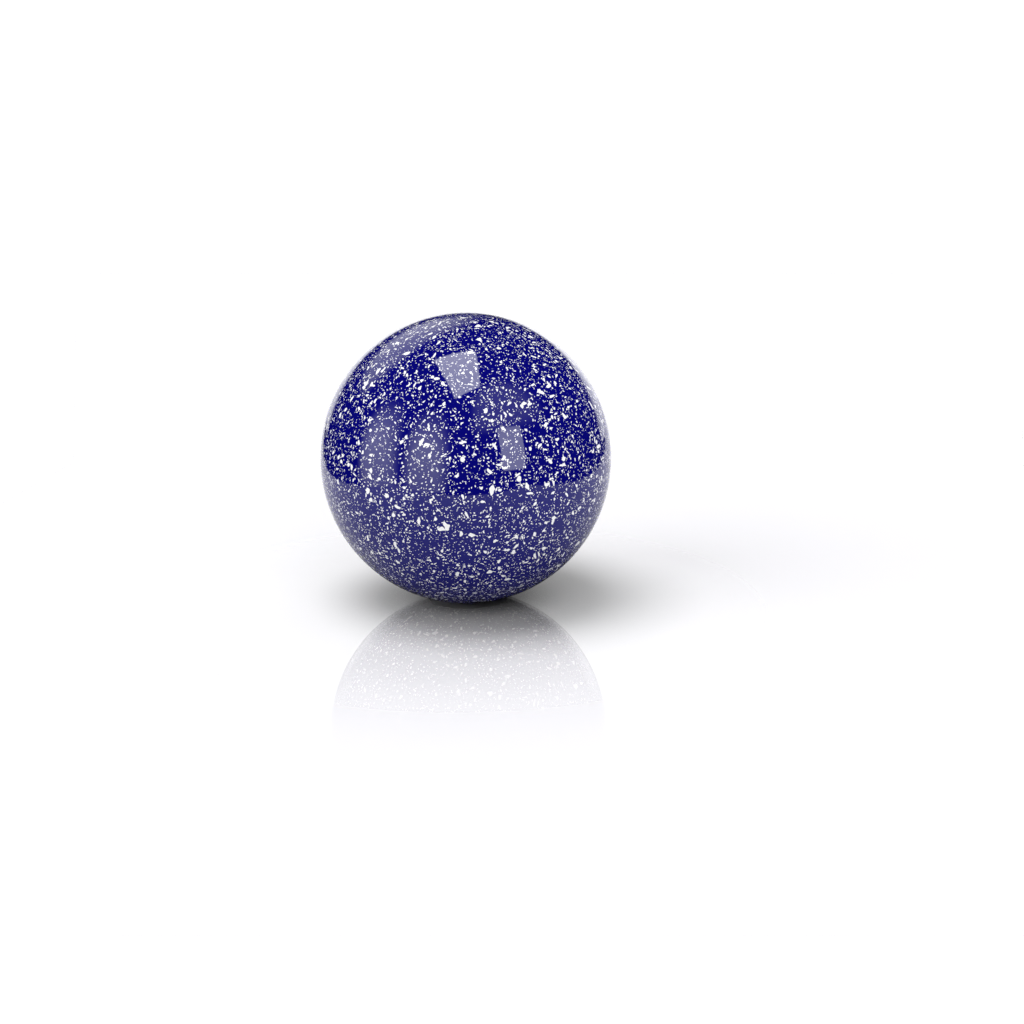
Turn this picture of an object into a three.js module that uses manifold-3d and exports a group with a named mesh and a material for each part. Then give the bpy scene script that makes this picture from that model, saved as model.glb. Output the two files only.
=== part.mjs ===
// Croquet ball: a hard speckled resin cover in two halves, cemented round a resilient rubber mantle, a light
// cork-and-rubber core and a small dense pill. Millimetres, +Z up, origin at the centre of the ball.
import * as THREE from "three";
import { mergeVertices } from "three/addons/utils/BufferGeometryUtils.js";
import Module from "manifold-3d";

const wasm = await Module();
wasm.setup();

// ---- Driving dimensions ----

const BALL_DIAMETER = 92.1; // 3 5/8 in
const COVER_WALL = 9.05;
const MANTLE_WALL = 12.7;
const CORE_WALL = 13.4;
const LAYER_GAP = 0.3; // film of adhesive between one layer and the next

// Cover seam: a tongue on the front half sits in a groove in the rear half
const TONGUE_THICKNESS = 3.0;
const TONGUE_HEIGHT = 3.0;
const TONGUE_TAPER = 0.35; // each flank leans in by this much over the tongue's height
const GROOVE_FLOOR_GAP = 0.5;
const CEMENT_THICKNESS = 0.5; // between the tongue's outer flank and the groove's wall, at the rim
const CEMENT_HEIGHT = 1.2;
const GROOVE_INNER_GAP = 0.3;

// Keys that stop the halves turning on each other
const KEY_COUNT = 6;
const KEY_WIDTH = 6.0;
const KEY_HEIGHT = 1.4;
const KEY_CLEARANCE = 0.4;

// Stepped joints of the mantle and the core: the inner part of one rim stands into the other
const LAP_HEIGHT = 2.0;
const LAP_GAP = 0.3;
const LAP_SHARE = 0.45; // share of the wall that the raised step takes

// Roundness: divisions round the axis, and along a quarter arc from pole to rim
const COVER_FACETS = { around: 48, arc: 12, innerArc: 8 };
const MANTLE_FACETS = { around: 32, arc: 8, innerArc: 6 };
const CORE_FACETS = { around: 24, arc: 6, innerArc: 4 };
const PILL_FACETS = { around: 16, arc: 4 };

// ---- Radii that follow from them ----

const coverOuter = BALL_DIAMETER / 2;
const coverInner = coverOuter - COVER_WALL;
const mantleOuter = coverInner - LAYER_GAP;
const mantleInner = mantleOuter - MANTLE_WALL;
const coreOuter = mantleInner - LAYER_GAP;
const coreInner = coreOuter - CORE_WALL;
const pillRadius = coreInner - LAYER_GAP;

const tongueMiddle = (coverOuter + coverInner) / 2;
const tongueInner = tongueMiddle - TONGUE_THICKNESS / 2;
const tongueOuter = tongueMiddle + TONGUE_THICKNESS / 2;
const grooveInner = tongueInner - GROOVE_INNER_GAP;
const grooveOuter = tongueOuter + CEMENT_THICKNESS;
const grooveDepth = TONGUE_HEIGHT + GROOVE_FLOOR_GAP;

// ---- Materials ----

const blueResin = new THREE.MeshStandardMaterial({ color: 0x0a0a7d, roughness: 0.08, metalness: 0 });
const cement = new THREE.MeshStandardMaterial({ color: 0x11114a, roughness: 0.35, metalness: 0 });
const rubber = new THREE.MeshStandardMaterial({ color: 0x2b2a2c, roughness: 0.8, metalness: 0 });
const corkRubber = new THREE.MeshStandardMaterial({ color: 0x8a6238, roughness: 0.9, metalness: 0 });
const loadedRubber = new THREE.MeshStandardMaterial({ color: 0x4a4d52, roughness: 0.6, metalness: 0 });

// ---- Shapes ----

// Quarter arc about the origin in the half plane of radius (x) and axis (y). The two angles are measured
// from the rim plane.
function quarterArc(radius, fromAngle, toAngle, divisions) {
  return Array.from({ length: divisions + 1 }, (_, i) => {
    const angle = THREE.MathUtils.lerp(fromAngle, toAngle, i / divisions);
    const onAxis = Math.abs(Math.abs(angle) - Math.PI / 2) < 1e-9;
    return new THREE.Vector2(onAxis ? 0 : radius * Math.cos(angle), radius * Math.sin(angle));
  });
}

const point = (radius, height) => new THREE.Vector2(radius, height);

// Half shell below the rim plane, whose rim carries the given points from outside to inside
function lowerShell(outer, inner, rim, facets) {
  return new THREE.LatheGeometry(
    [
      ...quarterArc(outer, -Math.PI / 2, 0, facets.arc),
      ...rim,
      ...quarterArc(inner, 0, -Math.PI / 2, facets.innerArc),
    ],
    facets.around,
  );
}

// Half shell above the rim plane, whose rim carries the given points from inside to outside
function upperShell(outer, inner, rim, facets) {
  return new THREE.LatheGeometry(
    [
      ...quarterArc(inner, Math.PI / 2, 0, facets.innerArc),
      ...rim,
      ...quarterArc(outer, 0, Math.PI / 2, facets.arc),
    ],
    facets.around,
  );
}

function toSolid(geometry) {
  const bare = geometry.clone();
  bare.deleteAttribute("normal");
  bare.deleteAttribute("uv");
  const merged = mergeVertices(bare);
  return new wasm.Manifold(
    new wasm.Mesh({
      numProp: 3,
      vertProperties: merged.attributes.position.array,
      triVerts: new Uint32Array(merged.index.array),
    }),
  );
}

function toGeometry(solid) {
  const mesh = solid.getMesh();
  const geometry = new THREE.BufferGeometry();
  geometry.setAttribute("position", new THREE.BufferAttribute(mesh.vertProperties, 3));
  geometry.setIndex(new THREE.BufferAttribute(mesh.triVerts, 1));
  geometry.computeVertexNormals();
  return geometry;
}

// Blocks across the seam's groove, one for each key, from one height above the rim plane to another
function keyBlocks(width, inner, outer, fromHeight, toHeight) {
  return Array.from({ length: KEY_COUNT }, (_, i) => {
    const block = new THREE.BoxGeometry(outer - inner, toHeight - fromHeight, width);
    block.translate((inner + outer) / 2, (fromHeight + toHeight) / 2, 0);
    block.rotateY(((i + 0.5) / KEY_COUNT) * 2 * Math.PI);
    return toSolid(block);
  });
}

// ---- Pieces ----

function coverHalfFront() {
  const shell = lowerShell(
    coverOuter,
    coverInner,
    [
      point(tongueOuter, 0),
      point(tongueOuter - TONGUE_TAPER, TONGUE_HEIGHT),
      point(tongueInner + TONGUE_TAPER, TONGUE_HEIGHT),
      point(tongueInner, 0),
    ],
    COVER_FACETS,
  );
  const notches = keyBlocks(
    KEY_WIDTH + 2 * KEY_CLEARANCE,
    tongueInner - 1,
    tongueOuter + 1,
    grooveDepth - KEY_HEIGHT - KEY_CLEARANCE,
    grooveDepth,
  );
  return toGeometry(notches.reduce((solid, notch) => solid.subtract(notch), toSolid(shell)));
}

function coverHalfRear() {
  const shell = upperShell(
    coverOuter,
    coverInner,
    [
      point(grooveInner, 0),
      point(grooveInner, grooveDepth),
      point(grooveOuter, grooveDepth),
      point(grooveOuter, 0),
    ],
    COVER_FACETS,
  );
  const keyRoot = 0.5; // how far each key runs on into the groove's floor and walls
  const keys = keyBlocks(
    KEY_WIDTH,
    grooveInner - keyRoot,
    grooveOuter + keyRoot,
    grooveDepth - KEY_HEIGHT,
    grooveDepth + keyRoot,
  );
  return toGeometry(keys.reduce((solid, key) => solid.add(key), toSolid(shell)));
}

// Bead against the groove's wall, its inner face leaning with the tongue's flank
function seamCementRing() {
  const lean = (TONGUE_TAPER * CEMENT_HEIGHT) / TONGUE_HEIGHT;
  return new THREE.LatheGeometry(
    [
      point(tongueOuter, 0),
      point(grooveOuter, 0),
      point(grooveOuter, CEMENT_HEIGHT),
      point(tongueOuter - lean, CEMENT_HEIGHT),
      point(tongueOuter, 0),
    ],
    COVER_FACETS.around,
  );
}

// The cup whose inner rim stands up into its partner
function steppedCup(outer, inner, facets) {
  const step = inner + (outer - inner) * LAP_SHARE;
  const rim = [point(step, 0), point(step, LAP_HEIGHT), point(inner, LAP_HEIGHT)];
  return lowerShell(outer, inner, rim, facets);
}

// Its partner, recessed to take the step
function recessedCup(outer, inner, facets) {
  const recess = inner + (outer - inner) * LAP_SHARE + LAP_GAP;
  const recessHeight = LAP_HEIGHT + LAP_GAP;
  const rimAngle = Math.asin(recessHeight / inner);
  return new THREE.LatheGeometry(
    [
      ...quarterArc(inner, Math.PI / 2, rimAngle, facets.innerArc),
      point(recess, recessHeight),
      point(recess, 0),
      ...quarterArc(outer, 0, Math.PI / 2, facets.arc),
    ],
    facets.around,
  );
}

function centrePill() {
  return new THREE.LatheGeometry(
    quarterArc(pillRadius, -Math.PI / 2, Math.PI / 2, 2 * PILL_FACETS.arc),
    PILL_FACETS.around,
  );
}

// ---- Assembly ----

function piece(name, geometry, material) {
  const mesh = new THREE.Mesh(geometry, material);
  mesh.name = name;
  return mesh;
}

const cover = new THREE.Group();
cover.add(
  piece("cover_half_front", coverHalfFront(), blueResin),
  piece("cover_half_rear", coverHalfRear(), blueResin),
  piece("seam_cement_ring", seamCementRing(), cement),
);

// The mantle's seam stands across the cover's, so that no two seams lie over each other
const mantle = new THREE.Group();
mantle.rotation.z = -Math.PI / 2;
mantle.add(
  piece("mantle_cup_left", steppedCup(mantleOuter, mantleInner, MANTLE_FACETS), rubber),
  piece("mantle_cup_right", recessedCup(mantleOuter, mantleInner, MANTLE_FACETS), rubber),
);

// The core's seam is level
const core = new THREE.Group();
core.rotation.x = Math.PI / 2;
core.add(
  piece("core_cup_lower", steppedCup(coreOuter, coreInner, CORE_FACETS), corkRubber),
  piece("core_cup_upper", recessedCup(coreOuter, coreInner, CORE_FACETS), corkRubber),
  piece("centre_pill", centrePill(), loadedRubber),
);

const ball = new THREE.Group();
ball.add(cover, mantle, core);

export default ball;
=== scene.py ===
"""Croquet ball: a polished dark blue resin cover with white flakes through it, over a rubber mantle, a core
of cork and rubber and a dense pill.

Every length is in metres unless it says otherwise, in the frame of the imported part: +Z up, origin at the
centre of the ball. The stage is a white studio.
"""

import math

import bmesh
import bpy
from mathutils import Matrix, Vector, noise


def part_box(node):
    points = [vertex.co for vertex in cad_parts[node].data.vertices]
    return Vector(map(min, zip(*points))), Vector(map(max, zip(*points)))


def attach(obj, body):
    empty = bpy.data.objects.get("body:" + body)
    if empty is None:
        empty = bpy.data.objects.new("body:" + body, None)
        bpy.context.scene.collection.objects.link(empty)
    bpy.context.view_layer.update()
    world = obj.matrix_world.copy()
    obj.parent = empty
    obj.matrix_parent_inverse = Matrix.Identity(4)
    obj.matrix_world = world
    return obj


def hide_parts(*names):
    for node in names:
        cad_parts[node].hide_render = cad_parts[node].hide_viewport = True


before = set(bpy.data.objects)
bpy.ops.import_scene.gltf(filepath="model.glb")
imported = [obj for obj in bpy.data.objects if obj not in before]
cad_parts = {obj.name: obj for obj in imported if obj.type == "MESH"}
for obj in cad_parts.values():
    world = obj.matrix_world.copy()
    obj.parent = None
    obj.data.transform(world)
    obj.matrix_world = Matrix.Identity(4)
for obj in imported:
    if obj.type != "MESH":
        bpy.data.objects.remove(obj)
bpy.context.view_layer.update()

# ---------------------------------------------------------------- sizes, worked out from the frame

MM = 0.001
LAYER_GAP = 0.3 * MM  # film of adhesive between one layer and the next


def high(node):
    """The greatest corner of a node's box."""
    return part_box(node)[1]


R = high("cover_half_front").z
MANTLE_OUTER = high("mantle_cup_left").z
COVER_INNER = MANTLE_OUTER + LAYER_GAP
CORE_OUTER = high("core_cup_upper").x
MANTLE_INNER = CORE_OUTER + LAYER_GAP
PILL_RADIUS = high("centre_pill").z
CORE_INNER = PILL_RADIUS + LAYER_GAP

# The cover's seam, whose tongue stands on the front half
TONGUE_HEIGHT = high("cover_half_front").y
TONGUE_THICKNESS = 3.0 * MM
TONGUE_TAPER = 0.35 * MM
TONGUE_OUTER = (R + COVER_INNER + TONGUE_THICKNESS) / 2
TONGUE_INNER = TONGUE_OUTER - TONGUE_THICKNESS
GROOVE_OUTER = high("seam_cement_ring").x
GROOVE_INNER = TONGUE_INNER - 0.3 * MM
GROOVE_DEPTH = TONGUE_HEIGHT + 0.5 * MM
CEMENT_HEIGHT = high("seam_cement_ring").y

# Fillets of the seam. The one on the cover's outer edge leaves a hairline
SEAM_EDGE = 0.1 * MM
TONGUE_FOOT = 0.25 * MM
TONGUE_TIP = 0.4 * MM
GROOVE_MOUTH = 0.2 * MM
GROOVE_FLOOR = 0.3 * MM
INNER_EDGE = 0.3 * MM

# Keys across the groove and the notches in the tongue that take them
KEY_COUNT = 6
KEY_WIDTH = 6.0 * MM
KEY_HEIGHT = 1.4 * MM
KEY_CLEARANCE = 0.4 * MM
KEY_BEVEL = 0.2 * MM
KEY_ROOT = 0.5 * MM  # how far a key runs on into the groove's floor and walls
NOTCH_REACH = 1.0 * MM  # how far the cutter of a notch stands past the tongue

# The stepped joints of the mantle and the core
LAP_HEIGHT = high("mantle_cup_left").x
LAP_GAP = 0.3 * MM
LAP_SHARE = 0.45  # share of the wall that the raised step takes

# ---------------------------------------------------------------- node helpers


class Tree:
    """Adds nodes to a node tree. A socket in place of a value makes a link."""

    def __init__(self, tree):
        self.tree = tree

    def node(self, kind, inputs=(), **settings):
        made = self.tree.nodes.new(kind)
        for key, value in settings.items():
            setattr(made, key, value)
        for key, value in dict(inputs).items():
            self.put(made.inputs[key], value)
        return made

    def put(self, socket, value):
        if isinstance(value, bpy.types.NodeSocket):
            self.tree.links.new(value, socket)
        else:
            socket.default_value = value

    def math(self, operation, *values):
        made = self.node("ShaderNodeMath", operation=operation)
        for socket, value in zip(made.inputs, values):
            self.put(socket, value)
        return made.outputs[0]

    def vector(self, operation, *values, scale=None):
        made = self.node("ShaderNodeVectorMath", operation=operation)
        for socket, value in zip(made.inputs, values):
            self.put(socket, value)
        if scale is not None:
            self.put(made.inputs["Scale"], scale)
        return made.outputs["Value" if operation == "LENGTH" else "Vector"]

    def ramp(self, value, low, high, to_low=0.0, to_high=1.0, smooth=False):
        """The value's place between low and high, from to_low to to_high."""
        names = ("Value", "From Min", "From Max", "To Min", "To Max")
        inputs = dict(zip(names, (value, low, high, to_low, to_high)))
        kind = "SMOOTHSTEP" if smooth else "LINEAR"
        return self.node("ShaderNodeMapRange", inputs, interpolation_type=kind).outputs["Result"]

    def mix(self, factor, first, second):
        """A colour between the first and the second."""
        made = self.node("ShaderNodeMix", {"Factor": factor}, data_type="RGBA")
        self.put(made.inputs[6], first)
        self.put(made.inputs[7], second)
        return made.outputs[2]

    def mix_shaders(self, factor, first, second):
        inputs = {0: factor, 1: first.outputs[0], 2: second.outputs[0]}
        return self.node("ShaderNodeMixShader", inputs).outputs[0]

    def grey(self, value):
        inputs = {"Red": value, "Green": value, "Blue": value}
        return self.node("ShaderNodeCombineColor", inputs).outputs[0]

    def channels(self, colour):
        return self.node("ShaderNodeSeparateColor", {"Color": colour}).outputs

    def noise(self, place, size, detail=0.0, roughness=0.5):
        """Noise whose lumps are about the given size."""
        inputs = {"Vector": place, "Scale": 1 / size, "Detail": detail, "Roughness": roughness}
        return self.node("ShaderNodeTexNoise", inputs).outputs

    def cells(self, place, size, feature="F1", metric="EUCLIDEAN"):
        inputs = {"Vector": place, "Scale": 1 / size, "Randomness": 1.0}
        return self.node("ShaderNodeTexVoronoi", inputs, feature=feature, distance=metric).outputs

    def bump(self, height, depth, shader):
        """Relief of the given depth, where height goes from 0 to 1."""
        inputs = {"Height": height, "Distance": depth, "Strength": 1.0}
        self.put(shader.inputs["Normal"], self.node("ShaderNodeBump", inputs).outputs[0])


def new_material(name):
    """A material, its Tree and its principled shader."""
    material = bpy.data.materials.new(name)
    material.use_nodes = True
    material.node_tree.nodes.clear()
    tree = Tree(material.node_tree)
    shader = tree.node("ShaderNodeBsdfPrincipled")
    tree.node("ShaderNodeOutputMaterial", {"Surface": shader.outputs[0]})
    return material, tree, shader


def times(vector, count):
    return tuple(part * count for part in vector)


def point_in_mm(tree):
    """The point on the piece, in millimetres."""
    at = tree.node("ShaderNodeTexCoord").outputs["Object"]
    return tree.vector("SCALE", at, scale=1 / MM)


SEED_STEP = (137.0, 71.0, 29.0)  # from one seed's part of the pattern to the next, in mm


def place_in_mm(tree, seed):
    """The point on the piece in millimetres, moved to its own part of the pattern."""
    return tree.vector("ADD", point_in_mm(tree), times(SEED_STEP, seed))


def warped(tree, place, size, reach, detail=0.0):
    """The place pushed about by noise with lumps of the given size, by up to about half the reach."""
    push = tree.noise(place, size, detail)["Color"]
    centred = tree.vector("SUBTRACT", push, (0.5, 0.5, 0.5))
    return tree.vector("ADD", place, tree.vector("SCALE", centred, scale=reach))


# ---------------------------------------------------------------- the cover's resin

# Flakes in the resin, from the largest: how many sets, the spacing of their cells and their least and
# greatest radius in mm, how far they are drawn out along three axes, and the kind of cell
FLAKES = (
    (3, 5.3, (0.34, 0.84), (1.9, 1.0, 0.7), "EUCLIDEAN"),
    (2, 3.0, (0.26, 0.70), (1.8, 1.0, 0.7), "EUCLIDEAN"),
    (2, 1.95, (0.21, 0.50), (1.6, 1.0, 0.7), "MANHATTAN"),
    (2, 1.3, (0.15, 0.32), (1.4, 1.0, 0.8), "EUCLIDEAN"),
    (2, 0.85, (0.08, 0.18), (1.3, 1.0, 0.9), "EUCLIDEAN"),
)
FLAKE_EDGE = 0.03  # in mm, half the width over which a flake fades into the resin
SET_STEP = (31.0, 17.0, 7.0)  # in mm, from one set's part of the pattern to the next
SET_TURN = (0.4, 0.9, 0.3)  # in radians, from one set's axes to the next
SAME_SIZE_TURN = (1.1, 0.7, 0.0)  # in radians, on top of it within one size

DEEP_BLUE = (0.0012, 0.0012, 0.118, 1.0)
LIGHTER_BLUE = (0.0022, 0.0022, 0.150, 1.0)
FLAKE_WHITE = (0.86, 0.86, 0.87, 1.0)
RESIN_IOR = 1.45
POLISHED_ROUGHNESS = 0.04

TOOL_FEED = 0.35  # in mm, from one ring that the turning tool left to the next
TOOL_SLANT = 0.6
RING_DEPTH = 0.01 * MM


def chips(tree, place, spacing, radii, shape, turn, metric):
    """Chips, at most one to a cell of the given spacing, with radii mostly near the smaller of the two.

    shape draws them out along three axes of their own, which turn sets at a slant.
    """
    inputs = {"Vector": place, "Rotation": turn, "Scale": shape}
    lie = tree.node("ShaderNodeMapping", inputs, vector_type="TEXTURE").outputs[0]
    cell = tree.cells(lie, spacing, metric=metric)
    draw = tree.channels(cell["Color"])["Red"]
    radius = tree.ramp(tree.math("POWER", draw, 2.0), 0.0, 1.0, *radii)
    distance = tree.math("MULTIPLY", cell["Distance"], spacing)
    return tree.ramp(tree.math("SUBTRACT", radius, distance), -FLAKE_EDGE, FLAKE_EDGE)


def flakes(tree, place):
    """1 in a flake and 0 in the resin between."""
    ragged = warped(tree, warped(tree, place, size=3.0, reach=1.8), size=0.9, reach=0.6)
    white = 0.0
    count = 0
    for sets, spacing, radii, shape, metric in FLAKES:
        for number in range(sets):
            apart = tree.vector("ADD", ragged, times(SET_STEP, count))
            turns = zip(times(SAME_SIZE_TURN, number), times(SET_TURN, count))
            turn = tuple(a + b for a, b in turns)
            white = tree.math("MAXIMUM", white, chips(tree, apart, spacing, radii, shape, turn, metric))
            count += 1
    return white


def resin_colour(tree, seed):
    place = place_in_mm(tree, seed)
    drift = tree.noise(place, size=14.0, detail=2.0)["Fac"]
    blue = tree.mix(drift, DEEP_BLUE, LIGHTER_BLUE)
    return tree.mix(flakes(tree, place), blue, FLAKE_WHITE)


def speckled_resin(name, seed):
    """Dark blue resin with white flakes of mixed sizes, cut through and polished flush."""
    material, tree, shader = new_material(name)
    tree.put(shader.inputs["Base Color"], resin_colour(tree, seed))
    shader.inputs["Roughness"].default_value = POLISHED_ROUGHNESS
    shader.inputs["IOR"].default_value = RESIN_IOR
    return material


def turned_resin(name, seed):
    """The same resin inside the cover and in its seam, as the tool left it: fine rings round the Y axis."""
    material, tree, shader = new_material(name)
    tree.put(shader.inputs["Base Color"], resin_colour(tree, seed))
    at = point_in_mm(tree)
    along = tree.node("ShaderNodeSeparateXYZ", {"Vector": at}).outputs["Y"]
    out = tree.vector("LENGTH", tree.vector("MULTIPLY", at, (1.0, 0.0, 1.0)))
    path = tree.math("ADD", along, tree.math("MULTIPLY", out, TOOL_SLANT))
    feed = tree.math("MULTIPLY", path, 2 * math.pi / TOOL_FEED)
    rings = tree.ramp(tree.math("SINE", feed), -1.0, 1.0)
    tree.bump(rings, RING_DEPTH, shader)
    tree.put(shader.inputs["Roughness"], tree.ramp(rings, 0.0, 1.0, to_low=0.36, to_high=0.5))
    shader.inputs["IOR"].default_value = RESIN_IOR
    return material


# ---------------------------------------------------------------- the other materials


def tinted_cement(name, seed):
    """Epoxy tinted to the resin, with pinhole bubbles."""
    material, tree, shader = new_material(name)
    place = place_in_mm(tree, seed)
    cloud = tree.noise(place, size=3.0, detail=3.0)["Fac"]
    blue = tree.mix(cloud, (0.004, 0.004, 0.045, 1.0), (0.010, 0.010, 0.085, 1.0))
    bubble = tree.ramp(tree.cells(place, size=0.5)["Distance"], 0.16, 0.22)
    tree.put(shader.inputs["Base Color"], tree.mix(bubble, (0.05, 0.05, 0.16, 1.0), blue))
    tree.put(shader.inputs["Roughness"], tree.ramp(cloud, 0.3, 0.7, to_low=0.22, to_high=0.38))
    tree.bump(bubble, 0.05 * MM, shader)
    return material


def moulded_rubber(name, seed):
    """Black rubber, pressed from sheet, with crumb in it and a pale bloom in patches."""
    material, tree, shader = new_material(name)
    place = place_in_mm(tree, seed)
    crumb = tree.cells(warped(tree, place, size=1.5, reach=0.8), size=1.3)
    shade = tree.channels(crumb["Color"])["Red"]
    black = tree.mix(shade, (0.012, 0.012, 0.013, 1.0), (0.034, 0.033, 0.034, 1.0))
    patches = tree.noise(place, size=9.0, detail=4.0, roughness=0.6)["Fac"]
    bloom = tree.ramp(patches, 0.5, 0.75, to_low=0.0, to_high=0.35, smooth=True)
    tree.put(shader.inputs["Base Color"], tree.mix(bloom, black, (0.085, 0.083, 0.080, 1.0)))
    tree.put(shader.inputs["Roughness"], tree.ramp(patches, 0.3, 0.7, to_low=0.62, to_high=0.88))
    grain = tree.noise(place, size=0.35, detail=3.0)["Fac"]
    relief = tree.math("ADD", grain, tree.math("MULTIPLY", crumb["Distance"], 0.6))
    tree.bump(relief, 0.06 * MM, shader)
    return material


def cork_composition(name, seed):
    """Cork granules of 1 to 3 mm in all shades of bark, bound with dark rubber."""
    material, tree, shader = new_material(name)
    place = warped(tree, place_in_mm(tree, seed), size=1.6, reach=1.1, detail=1.0)
    granule_size = 2.3
    draw = tree.channels(tree.cells(place, granule_size)["Color"])
    rim = tree.cells(place, granule_size, feature="DISTANCE_TO_EDGE")["Distance"]
    pores = tree.noise(place, size=0.3, detail=4.0, roughness=0.65)["Fac"]
    bark = tree.mix(draw["Red"], (0.130, 0.056, 0.020, 1.0), (0.420, 0.240, 0.105, 1.0))
    in_pore = tree.ramp(pores, 0.52, 0.72, to_low=0.0, to_high=0.6)
    bark = tree.mix(in_pore, bark, (0.060, 0.026, 0.011, 1.0))
    rubber = tree.math("GREATER_THAN", draw["Green"], 0.86)
    bark = tree.mix(rubber, bark, (0.020, 0.018, 0.017, 1.0))
    inside = tree.ramp(rim, 0.03, 0.09, smooth=True)
    tree.put(shader.inputs["Base Color"], tree.mix(inside, (0.024, 0.018, 0.014, 1.0), bark))
    tree.put(shader.inputs["Roughness"], tree.ramp(pores, 0.3, 0.7, to_low=0.78, to_high=0.96))
    relief = tree.math("ADD", tree.math("MULTIPLY", inside, 0.7), tree.math("MULTIPLY", pores, 0.5))
    tree.bump(relief, 0.18 * MM, shader)
    return material


def loaded_rubber(name, seed):
    """Grey rubber made heavy with mineral filler, which shows as pale grains."""
    material, tree, shader = new_material(name)
    place = place_in_mm(tree, seed)
    pale = tree.ramp(tree.cells(place, size=0.6)["Distance"], 0.30, 0.22)
    cloud = tree.noise(place, size=4.0, detail=3.0)["Fac"]
    base = tree.mix(cloud, (0.060, 0.066, 0.074, 1.0), (0.098, 0.104, 0.112, 1.0))
    tree.put(shader.inputs["Base Color"], tree.mix(pale, base, (0.240, 0.240, 0.235, 1.0)))
    tree.put(shader.inputs["Roughness"], tree.ramp(cloud, 0.3, 0.7, to_low=0.5, to_high=0.68))
    tree.bump(tree.math("ADD", pale, cloud), 0.03 * MM, shader)
    return material


# ---------------------------------------------------------------- mesh helpers

SHELL_DIVISIONS = 48  # quads from one side of a half shell over its pole to the other
PILL_DIVISIONS = 32
RING_DIVISIONS = 4 * SHELL_DIVISIONS
FILLET_STEPS = 3
SHARP_ANGLE = math.radians(35)  # edges that turn by more are shaded as edges
SAME_POINT = 0.001 * MM
ON_RIM = 1e-9

# Turns of a half ball that is made with its pole on -Y, by where the pole goes
TURNS = {
    "-Y": Matrix.Identity(3),
    "+Y": Matrix.Rotation(math.pi, 3, "Z"),
    "-X": Matrix.Rotation(-math.pi / 2, 3, "Z"),
    "+X": Matrix.Rotation(math.pi / 2, 3, "Z"),
    "-Z": Matrix.Rotation(math.pi / 2, 3, "X"),
    "+Z": Matrix.Rotation(-math.pi / 2, 3, "X"),
}


def cube_grid(divisions):
    """Half a unit ball, y <= 0, as an even grid with no pole: (unit vectors, quads).

    It is half of a cube blown up to a sphere, so its rim, at y = 0, is divided evenly too.
    """
    index = {}
    points = []
    quads = []
    half = divisions // 2

    def add(corner):
        if corner not in index:
            index[corner] = len(points)
            points.append(Vector([math.tan((c / half) * math.pi / 4) for c in corner]).normalized())
        return index[corner]

    def face(place, columns, rows):
        for i in columns:
            for j in rows:
                corners = [(i, j), (i + 1, j), (i + 1, j + 1), (i, j + 1)]
                quads.append([add(place(*c)) for c in corners])

    full = range(-half, half)
    lower = range(-half, 0)
    face(lambda i, j: (i, -half, j), full, full)
    for side in (-half, half):
        face(lambda i, j: (side, j, i), full, lower)
        face(lambda i, j: (i, j, side), full, lower)
    return points, quads


def filleted(corners):
    """The outline through (radius, height, fillet) corners, with an arc of the given size at each."""
    outline = []
    ends = [Vector(c[:2]) for c in corners]
    for i, (at, fillet) in enumerate(zip(ends, [c[2] for c in corners])):
        if not fillet or i in (0, len(corners) - 1):
            outline.append(at)
            continue
        before = at + (ends[i - 1] - at).normalized() * fillet
        after = at + (ends[i + 1] - at).normalized() * fillet
        for step in range(FILLET_STEPS + 1):
            t = step / FILLET_STEPS
            outline.append(before * (1 - t) ** 2 + at * 2 * t * (1 - t) + after * t**2)
    return outline


def half_shell(name, outer, inner, rim, pole):
    """A half-ball shell whose rim follows the filleted corners, from its outer edge to its inner one.

    It is made with its pole on -Y and its rim up, then turned. The first and last corner lie on the two
    spheres, which end there.
    """
    unit, quads = cube_grid(SHELL_DIVISIONS)
    outline = filleted(rim)
    vertices = []
    faces = []

    def sphere(radius, height):
        """The unit half ball at this radius, ending at this height. Gives its first index."""
        start = len(vertices)
        reach = math.acos(-height / radius) / (math.pi / 2)
        for p in unit:
            tilt = math.acos(-p.y) * reach
            round_axis = math.hypot(p.x, p.z) or 1.0
            flat = math.sin(tilt) * radius / round_axis
            vertices.append(Vector((p.x * flat, -math.cos(tilt) * radius, p.z * flat)))
        return start

    outside = sphere(outer, outline[0].y)
    inside = sphere(inner, outline[-1].y)
    for quad in quads:
        faces.append([outside + k for k in quad])
        faces.append([inside + k for k in quad])

    edge = [k for k, p in enumerate(unit) if abs(p.y) < ON_RIM]
    edge.sort(key=lambda k: math.atan2(unit[k].z, unit[k].x))
    rings = [[outside + k for k in edge]]
    for at in outline[1:-1]:
        rings.append(range(len(vertices), len(vertices) + len(edge)))
        vertices += [Vector((unit[k].x * at.x, at.y, unit[k].z * at.x)) for k in edge]
    rings.append([inside + k for k in edge])
    for first, second in zip(rings, rings[1:]):
        for i in range(len(edge)):
            j = (i + 1) % len(edge)
            faces.append([first[i], second[i], second[j], first[j]])
    return mesh_object(name, [TURNS[pole] @ v for v in vertices], faces)


def mesh_object(name, vertices, faces):
    """A mesh object with its faces turned outwards and smooth shading."""
    mesh = bpy.data.meshes.new(name)
    mesh.from_pydata([tuple(v) for v in vertices], [], faces)
    made = bpy.data.objects.new(name, mesh)
    bpy.context.scene.collection.objects.link(made)
    settle(made)
    return made


def settle(piece):
    """Merges points that coincide, turns the faces outwards and shades them smooth up to sharp edges."""
    work = bmesh.new()
    work.from_mesh(piece.data)
    bmesh.ops.remove_doubles(work, verts=work.verts, dist=SAME_POINT)
    bmesh.ops.recalc_face_normals(work, faces=work.faces)
    work.to_mesh(piece.data)
    work.free()
    piece.data.shade_smooth()
    piece.data.set_sharp_from_angle(angle=SHARP_ANGLE)


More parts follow.
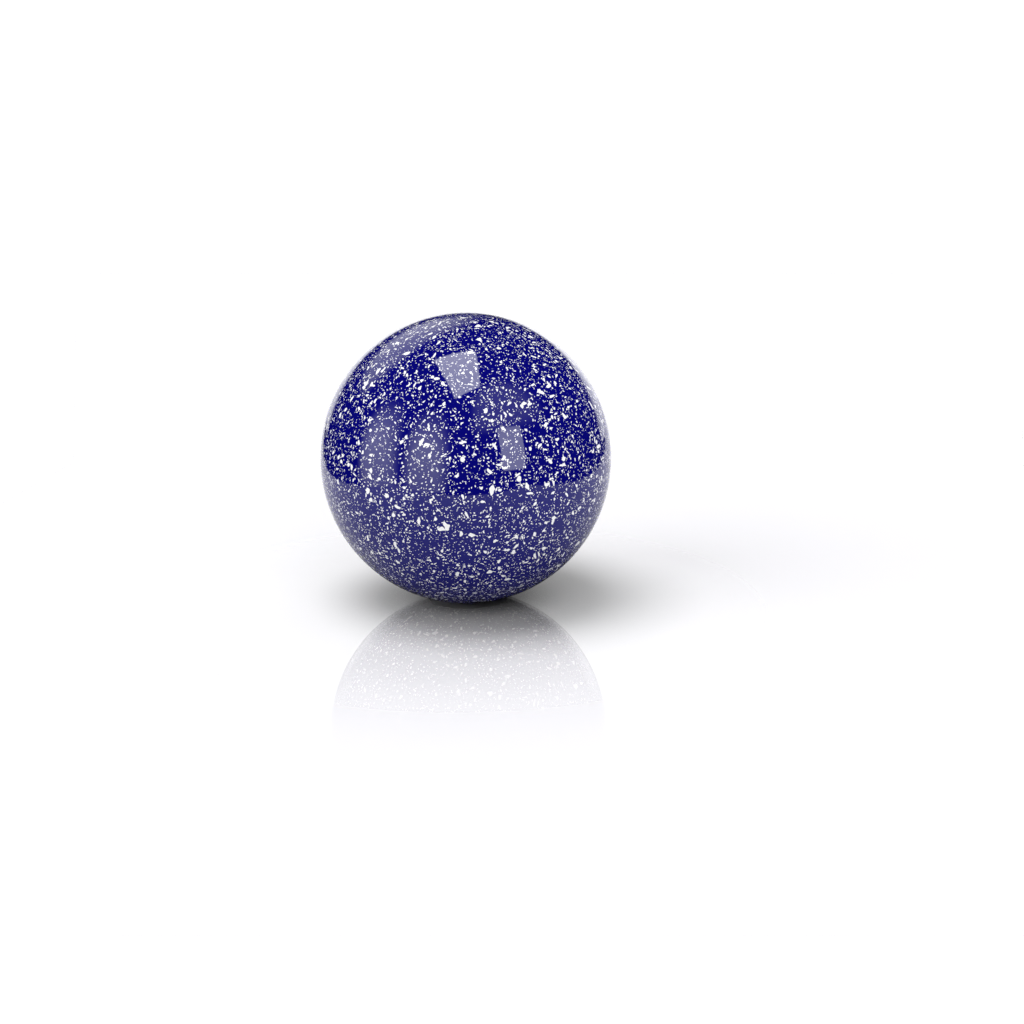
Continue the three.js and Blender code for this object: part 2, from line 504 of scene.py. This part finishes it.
def boolean(piece, tool, operation):
    """Cuts the tool out of the piece, or joins it on, and takes the tool away."""
    change = piece.modifiers.new(operation, "BOOLEAN")
    change.operation = operation
    change.object = tool
    change.solver = "EXACT"
    whole = piece.evaluated_get(bpy.context.evaluated_depsgraph_get())
    mesh = bpy.data.meshes.new_from_object(whole)
    piece.modifiers.clear()
    piece.data = mesh
    bpy.data.objects.remove(tool)
    settle(piece)


def key_blocks(width, inner, outer, from_height, to_height, pole):
    """One mesh of blocks round the Y axis, one for each key, with bevelled edges."""
    turn = TURNS[pole].to_4x4()
    work = bmesh.new()
    for i in range(KEY_COUNT):
        size = Matrix.Diagonal((outer - inner, to_height - from_height, width, 1.0))
        place = Matrix.Translation(((inner + outer) / 2, (from_height + to_height) / 2, 0.0))
        spin = Matrix.Rotation((i + 0.5) / KEY_COUNT * 2 * math.pi, 4, "Y")
        bmesh.ops.create_cube(work, size=1.0, matrix=turn @ spin @ place @ size)
    bmesh.ops.bevel(
        work, geom=work.edges[:], offset=KEY_BEVEL, segments=2, profile=0.5, affect="EDGES"
    )
    mesh = bpy.data.meshes.new("keys")
    work.to_mesh(mesh)
    work.free()
    made = bpy.data.objects.new("keys", mesh)
    bpy.context.scene.collection.objects.link(made)
    return made


def weather(piece, depth, size):
    """Sinks the surface unevenly, by up to the depth, so that nothing stands out of its place."""
    roughness, lacunarity, octaves = 0.5, 2.0, 3
    mesh = piece.data
    normals = [vertex.normal.copy() for vertex in mesh.vertices]
    for vertex, normal in zip(mesh.vertices, normals):
        lump = noise.fractal(vertex.co / size, roughness, lacunarity, octaves)
        vertex.co -= normal * depth * min(max(0.5 + 0.5 * lump, 0.0), 1.0)
    mesh.update()


def dress(piece, slot, node, *materials):
    """Gives a piece its materials and its place on the body, and hides the CAD node that it stands for."""
    for material in materials:
        piece.data.materials.append(material)
    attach(piece, "root")
    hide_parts(node)


# ---------------------------------------------------------------- cover


def polish_outside(piece):
    """Gives the faces on the ball's outside the first material, and all others the second."""
    for face in piece.data.polygons:
        outside = all(piece.data.vertices[v].co.length > R - SEAM_EDGE / 2 for v in face.vertices)
        face.material_index = 0 if outside else 1


def cover_half(name, pole, joint):
    """A half of the cover, with the seam's tongue or groove between its outer and its inner edge."""
    outer_edge = [(R, -SEAM_EDGE, 0), (R, 0, SEAM_EDGE)]
    inner_edge = [(COVER_INNER, 0, INNER_EDGE), (COVER_INNER, -INNER_EDGE, 0)]
    return half_shell(name, R, COVER_INNER, outer_edge + joint + inner_edge, pole)


def make_cover():
    tongue = [
        (TONGUE_OUTER, 0, TONGUE_FOOT),
        (TONGUE_OUTER - TONGUE_TAPER, TONGUE_HEIGHT, TONGUE_TIP),
        (TONGUE_INNER + TONGUE_TAPER, TONGUE_HEIGHT, TONGUE_TIP),
        (TONGUE_INNER, 0, TONGUE_FOOT),
    ]
    front = cover_half("cover_front", "-Y", tongue)
    notches = key_blocks(
        width=KEY_WIDTH + 2 * KEY_CLEARANCE,
        inner=TONGUE_INNER - NOTCH_REACH,
        outer=TONGUE_OUTER + NOTCH_REACH,
        from_height=GROOVE_DEPTH - KEY_HEIGHT - KEY_CLEARANCE,
        to_height=TONGUE_HEIGHT + NOTCH_REACH,
        pole="-Y",
    )
    boolean(front, notches, "DIFFERENCE")

    groove = [
        (GROOVE_OUTER, 0, GROOVE_MOUTH),
        (GROOVE_OUTER, -GROOVE_DEPTH, GROOVE_FLOOR),
        (GROOVE_INNER, -GROOVE_DEPTH, GROOVE_FLOOR),
        (GROOVE_INNER, 0, GROOVE_MOUTH),
    ]
    rear = cover_half("cover_rear", "+Y", groove)
    keys = key_blocks(
        width=KEY_WIDTH,
        inner=GROOVE_INNER - KEY_ROOT,
        outer=GROOVE_OUTER + KEY_ROOT,
        from_height=-GROOVE_DEPTH - KEY_ROOT,
        to_height=-GROOVE_DEPTH + KEY_HEIGHT,
        pole="+Y",
    )
    boolean(rear, keys, "UNION")

    for piece, node, seed in ((front, "cover_half_front", 1), (rear, "cover_half_rear", 2)):
        polished = speckled_resin(f"speckled_resin_{seed}", seed)
        turned = turned_resin(f"turned_resin_{seed}", seed)
        dress(piece, "speckled_resin", node, polished, turned)
        polish_outside(piece)


def make_cement():
    """The bead of cement that fills the mouth of the groove, its top hollow and a little uneven."""
    lean = TONGUE_TAPER * CEMENT_HEIGHT / TONGUE_HEIGHT
    outer = GROOVE_OUTER
    inner = TONGUE_OUTER
    middle = (outer + inner) / 2
    sag = 0.12 * MM
    lip = 0.1 * MM
    flow_depth = 0.1 * MM
    flow_waves = 6
    section = [
        (inner, 0.0),
        (middle, sag / 2),
        (outer, 0.0),
        (outer, CEMENT_HEIGHT * 0.5),
        (outer, CEMENT_HEIGHT),
        (outer - lip, CEMENT_HEIGHT - sag),
        (middle - lean / 2, CEMENT_HEIGHT - sag * 1.6),
        (inner - lean + sag, CEMENT_HEIGHT - sag),
        (inner - lean, CEMENT_HEIGHT),
        (inner - lean / 2, CEMENT_HEIGHT * 0.5),
    ]
    count = len(section)
    vertices = []
    faces = []
    for i in range(RING_DIVISIONS):
        angle = i / RING_DIVISIONS * 2 * math.pi
        flow = noise.noise(Vector((math.cos(angle), math.sin(angle), 0)) * flow_waves)
        for radius, height in section:
            drop = flow_depth * (0.5 + 0.5 * flow) if height > CEMENT_HEIGHT / 2 else 0.0
            across = radius * math.cos(angle)
            vertices.append(Vector((across, height - drop, radius * math.sin(angle))))
        for j in range(count):
            a = i * count + j
            b = i * count + (j + 1) % count
            c = (b + count) % (RING_DIVISIONS * count)
            d = (a + count) % (RING_DIVISIONS * count)
            faces.append([a, b, c, d])
    ring = mesh_object("seam_cement", vertices, faces)
    dress(ring, "seam_cement", "seam_cement_ring", tinted_cement("tinted_cement", seed=4))


# ---------------------------------------------------------------- mantle, core and pill


def stepped_rim(outer, inner, fillet):
    """The rim whose inner part stands up into its partner."""
    step = inner + (outer - inner) * LAP_SHARE
    return [
        (outer, -fillet, 0),
        (outer, 0, fillet),
        (step, 0, fillet / 2),
        (step, LAP_HEIGHT, fillet),
        (inner, LAP_HEIGHT, fillet),
        (inner, 0, 0),
    ]


def recessed_rim(outer, inner, fillet):
    """The rim with a recess for the step."""
    recess = inner + (outer - inner) * LAP_SHARE + LAP_GAP
    depth = LAP_HEIGHT + LAP_GAP
    edge = math.sqrt(inner**2 - depth**2)
    return [
        (outer, -fillet, 0),
        (outer, 0, fillet),
        (recess, 0, fillet),
        (recess, -depth, fillet / 2),
        (edge, -depth, 0),
    ]


def make_cups(stem, sides, outer, inner, fillet, slot, material, dents, lumps):
    """Two cups that close on each other with a stepped joint.

    sides holds the ending of each cup's node and where its pole goes. The surface is dented by up to dents,
    in lumps of the given size.
    """
    for (side, pole), rim in zip(sides, (stepped_rim, recessed_rim)):
        cup = half_shell(f"{stem}_{side}", outer, inner, rim(outer, inner, fillet), pole)
        weather(cup, dents, lumps)
        dress(cup, slot, f"{stem}_cup_{side}", material)


def make_pill():
    """The pill, with the line that its mould left round it."""
    unit, quads = cube_grid(PILL_DIVISIONS)
    mould_line = 0.06 * MM
    vertices = []
    faces = []
    for side in (1, -1):
        start = len(vertices)
        for p in unit:
            radius = PILL_RADIUS if abs(p.y) < ON_RIM else PILL_RADIUS - mould_line
            vertices.append(Vector((p.x, p.y * side, p.z)) * radius)
        faces += [[start + k for k in quad] for quad in quads]
    pill = mesh_object("pill", vertices, faces)
    dress(pill, "loaded_rubber", "centre_pill", loaded_rubber("loaded_rubber", seed=9))


make_cover()
make_cement()
make_cups(
    "mantle",
    sides=(("left", "-X"), ("right", "+X")),
    outer=MANTLE_OUTER,
    inner=MANTLE_INNER,
    fillet=0.6 * MM,
    slot="mantle_rubber",
    material=moulded_rubber("moulded_rubber", seed=5),
    dents=0.08 * MM,
    lumps=5.0 * MM,
)
make_cups(
    "core",
    sides=(("lower", "-Z"), ("upper", "+Z")),
    outer=CORE_OUTER,
    inner=CORE_INNER,
    fillet=0.5 * MM,
    slot="cork_composition",
    material=cork_composition("cork_composition", seed=7),
    dents=0.16 * MM,
    lumps=1.6 * MM,
)
make_pill()

# ---------------------------------------------------------------- stage

SURROUNDINGS = 1.55  # brightness of the white behind the ball
MIRRORED_WHITE = 1.2  # its brightness in the floor's mirror
SKY = 1.45  # brightness of the light that reaches every matt surface

FLOOR_OUTLINE = ((-4.4, -4.2), (4.4, -4.2), (6.0, 5.0), (30.0, 60.0), (-24.0, 60.0), (-4.6, 5.0))
FLOOR_WHITE = 0.03  # the floor is lit mostly by lamps of its own
FLOOR_TINT = (1.0, 0.995, 1.025)
FLOOR_BOUNCE = 0.57  # share of the floor's light that reaches the ball's matt surface
GLOSS_REACH = 1.7  # in ball radii, how soon the ball's gloss shows the floor away from the contact, through a painted shade that darkens it there
MIRROR_SHARE = 0.46  # share of the floor's light that is mirrored, at the contact
MIRROR_REACH = 1.7  # in ball radii
MIRROR_FALL = 2.4  # the greater, the sooner the mirror fades beyond its reach

LIGHT_DISTANCE = 60.0  # of the panels, in ball radii
FOOT_TOP = 0.55  # share of a panel's height at which its light has come up from the foot's to the full
GRID_FROM = 0.63  # cosine of the turn at which a grid begins to dim

LENS = 42.19  # in mm, on a sensor 36 mm wide
CAMERA_AT = (0.316, -8.18, 1.580)  # in ball radii
CAMERA_DIP = 13.47  # degrees below the horizon


def new_stage_material(name):
    """A material with an empty tree, its Tree and its output."""
    material, tree, shader = new_material(name)
    tree.tree.nodes.remove(shader)
    return material, tree, next(n for n in tree.tree.nodes if n.type == "OUTPUT_MATERIAL")


def in_gloss(tree):
    """1 for a ray off the ball's gloss, and 0 for one off the floor's mirror or any other."""
    ray = tree.node("ShaderNodeLightPath")
    return tree.math("SUBTRACT", ray.outputs["Is Glossy Ray"], ray.outputs["Is Singular Ray"])


def make_floor():
    """A white sheet under the ball that widens towards the back and mirrors the ball near the contact.

    The mirror is a part of what the camera sees, and what it shows of the surroundings fades towards the
    contact under a painted shade in its colour, as the shadow would. The ball's gloss sees the floor with a
    painted shade that darkens it near the contact, and its matt surface gets a share of the floor's light.
    """
    corners = [Vector((x, y, -1.0)) * R for x, y in FLOOR_OUTLINE]
    floor = mesh_object("floor", corners, [tuple(range(len(corners)))])
    material, tree, output = new_stage_material("floor_white")
    at = tree.node("ShaderNodeTexCoord").outputs["Object"]
    away = tree.vector("LENGTH", tree.vector("MULTIPLY", at, (1 / R, 1 / R, 0.0)))
    reach = tree.math("POWER", tree.math("DIVIDE", away, MIRROR_REACH), MIRROR_FALL)
    fall = tree.math("EXPONENT", tree.math("MULTIPLY", reach, -1.0))
    share = tree.math("MULTIPLY", fall, MIRROR_SHARE)
    # painted shade for the mirror's colour: the share of the sky that the ball leaves open over a spot on
    # the floor, darkest at the contact
    slant = tree.math("SQRT", tree.math("ADD", tree.math("POWER", away, 2.0), 1.0))
    painted_open_sky_shade = tree.math("SUBTRACT", 1.0, tree.math("POWER", slant, -3.0))
    camera_ray = tree.node("ShaderNodeLightPath").outputs["Is Camera Ray"]
    white = tree.ramp(camera_ray, 0.0, 1.0, FLOOR_WHITE * FLOOR_BOUNCE, FLOOR_WHITE)
    # painted shade: in the ball's gloss the floor's white fades to dark towards the contact
    painted_gloss_shade = tree.math("EXPONENT", tree.math("DIVIDE", away, -GLOSS_REACH))
    glossy = tree.ramp(painted_gloss_shade, 0.0, 1.0, FLOOR_WHITE, 0.0)
    white = tree.ramp(in_gloss(tree), 0.0, 1.0, white, glossy)
    tinted = tree.vector("MULTIPLY", tree.grey(white), FLOOR_TINT)
    matt = tree.node("ShaderNodeBsdfDiffuse", {"Color": tinted})
    # the mirror's colour is the painted shade above, so the mirror darkens towards the contact
    mirror = tree.node("ShaderNodeBsdfAnisotropic", {"Color": tree.grey(painted_open_sky_shade), "Roughness": 0.0})
    seen_share = tree.math("MULTIPLY", share, camera_ray)
    tree.put(output.inputs["Surface"], tree.mix_shaders(seen_share, matt, mirror))
    floor.data.materials.append(material)
    return floor


def make_world():
    """White behind the ball, in the floor's mirror and for soft light, and darkness in the ball's gloss."""
    world = bpy.data.worlds.new("studio")
    bpy.context.scene.world = world
    world.use_nodes = True
    world.node_tree.nodes.clear()
    world.cycles.sampling_method = "NONE"
    tree = Tree(world.node_tree)
    ray = tree.node("ShaderNodeLightPath")
    seen = tree.math("MULTIPLY", ray.outputs["Is Camera Ray"], SURROUNDINGS)
    mirrored = tree.math("MULTIPLY", ray.outputs["Is Singular Ray"], MIRRORED_WHITE)
    soft = tree.math("MULTIPLY", ray.outputs["Is Diffuse Ray"], SKY)
    strength = tree.math("MAXIMUM", seen, tree.math("MAXIMUM", mirrored, soft))
    light = tree.node("ShaderNodeBackground", {"Color": (1, 1, 1, 1), "Strength": strength})
    tree.node("ShaderNodeOutputWorld", {"Surface": light.outputs[0]})


def direction(azimuth, elevation):
    """A unit vector. Azimuth is from +Y towards +X, and both are in degrees."""
    a = math.radians(azimuth)
    e = math.radians(elevation)
    return Vector((math.sin(a) * math.cos(e), math.cos(a) * math.cos(e), math.sin(e)))


def panel(
    name, corners, strength, soft=0.04, squareness=30.0, open_foot=False, foot=1.0, gridded=False
):
    """A flat panel that glows only in the ball's gloss.

    Corners are directions, from the lower left one clockwise. Its outline is a superellipse of the given
    squareness, 2 for an ellipse, and its edge fades over the share soft of its half width. With an open
    foot the lower edge is straight and hard, and the light there is foot times as strong. A gridded panel
    lights squarely what faces it, and less and less of what is turned away from it.
    """
    made = mesh_object(name, [Vector(c) * LIGHT_DISTANCE * R for c in corners], [(0, 1, 2, 3)])
    across = made.data.uv_layers.new(name="across")
    for loop in made.data.loops:
        across.data[loop.index].uv = ((0, 0), (0, 1), (1, 1), (1, 0))[loop.vertex_index]
    material, tree, output = new_stage_material(name)
    at = tree.node("ShaderNodeUVMap", uv_map="across").outputs[0]
    lowest = (-1.0, 0.0, 0.0) if open_foot else (-1.0, -1.0, 0.0)
    spread = (2.0, 1.0, 0.0) if open_foot else (2.0, 2.0, 0.0)
    place = tree.vector("MULTIPLY_ADD", at, spread, lowest)
    side, up = tree.node("ShaderNodeSeparateXYZ", {"Vector": place}).outputs[:2]
    powers = [tree.math("POWER", tree.math("ABSOLUTE", way), squareness) for way in (side, up)]
    reach = tree.math("POWER", tree.math("ADD", *powers), 1 / squareness)
    inside = tree.ramp(reach, 1.0, 1.0 - soft, smooth=True)
    clear = tree.node("ShaderNodeBsdfTransparent")
    strength = tree.ramp(up, 0.0, FOOT_TOP, foot * strength, strength)
    if gridded:
        # how much nearer than the ball's centre the lit spot is: all of R where the ball faces the panel
        away = tree.vector("LENGTH", tree.node("ShaderNodeNewGeometry").outputs["Position"])
        nearer = tree.math("SUBTRACT", away, tree.node("ShaderNodeLightPath").outputs["Ray Length"])
        strength = tree.math("MULTIPLY", strength, tree.ramp(nearer, 0.0, GRID_FROM * R))
    glow = tree.node("ShaderNodeEmission", {"Strength": strength})
    seen = tree.math("MULTIPLY", inside, in_gloss(tree))
    tree.put(output.inputs["Surface"], tree.mix_shaders(seen, clear, glow))
    made.data.materials.append(material)
    made.visible_camera = False
    made.visible_diffuse = False
    made.visible_shadow = False


def panel_between(name, corners, strength, **outline):
    """A panel with its corners at (azimuth, elevation)."""
    panel(name, [direction(*corner) for corner in corners], strength, **outline)


def make_panels():
    """What the ball's gloss shows: a light overhead, a small one, two tall windows, and soft hazes."""
    overhead = ((-0.13, -0.67), (-0.33, 0.10), (0.09, 0.21), (0.20, -0.42))
    panel("overhead_light", [(x, y, 1.0) for x, y in overhead], 6.6, gridded=True)
    small = ((150.5, 0.3), (152.0, 32), (130.5, 31), (132.5, 0.8))
    panel_between("small_light", small, 4.5, gridded=True)
    window = {"soft": 0.6, "squareness": 3.0, "open_foot": True, "foot": 0.42, "gridded": True}
    panel_between("window_left", ((-91, -14), (-86, 39), (-132, 45), (-132, -14)), 3.45, **window)
    panel_between("window_right", ((-131.5, -14), (-128, 47), (-175, 44), (-170, -14)), 3.5, **window)
    haze = {"soft": 0.5, "squareness": 3.0}
    panel_between("back_light", ((-76, 20), (-64, 56), (6, 48), (2, 14)), 1.35, **haze)
    panel_between("front_light", ((174, 22), (176, 62), (92, 62), (98, 22)), 0.9, **haze)
    hump = {"soft": 0.3, "squareness": 2.4, "open_foot": True}
    panel_between("backdrop_left", ((-40, -3), (-40, 12), (2, 12), (2, -3)), 1.3, **hump)
    panel_between("backdrop_right", ((-2, -3), (-2, 14), (46, 14), (46, -3)), 1.5, **hump)


def floor_lamp(name, towards, half_angle, share, floor):
    """A distant lamp that lights only the floor and shapes the ball's shadow.

    half_angle, in radians, is how soft it is, and share is its part of the floor's white.
    """
    lamp = bpy.data.lights.new(name, "SUN")
    lamp.angle = 2 * half_angle
    lamp.energy = share / FLOOR_WHITE * math.pi / towards.normalized().z
    made = bpy.data.objects.new(name, lamp)
    bpy.context.scene.collection.objects.link(made)
    made.rotation_euler = towards.to_track_quat("Z", "Y").to_euler()
    made.visible_glossy = False
    only = bpy.data.collections.new(name)
    only.objects.link(floor)
    made.light_linking.receiver_collection = only


def make_camera():
    """A camera a little above the ball, which stands left of the middle of the frame and above it."""
    camera = bpy.data.objects.new("camera", bpy.data.cameras.new("camera"))
    bpy.context.scene.collection.objects.link(camera)
    camera.data.sensor_width = 36.0
    camera.data.lens = LENS
    camera.data.clip_start = 0.01
    camera.data.clip_end = 50.0
    camera.location = Vector(CAMERA_AT) * R
    camera.rotation_euler = (math.radians(90 - CAMERA_DIP), 0.0, 0.0)
    bpy.context.scene.camera = camera


ground = make_floor()
make_world()
make_panels()
floor_lamp("lamp_above", direction(-106, 78), half_angle=0.34, share=0.62, floor=ground)
floor_lamp("lamp_front", direction(165, 42), half_angle=0.38, share=0.18, floor=ground)
floor_lamp("lamp_left", direction(-122, 29), half_angle=0.44, share=0.19, floor=ground)
make_camera()
bpy.context.scene.view_settings.view_transform = "Standard"
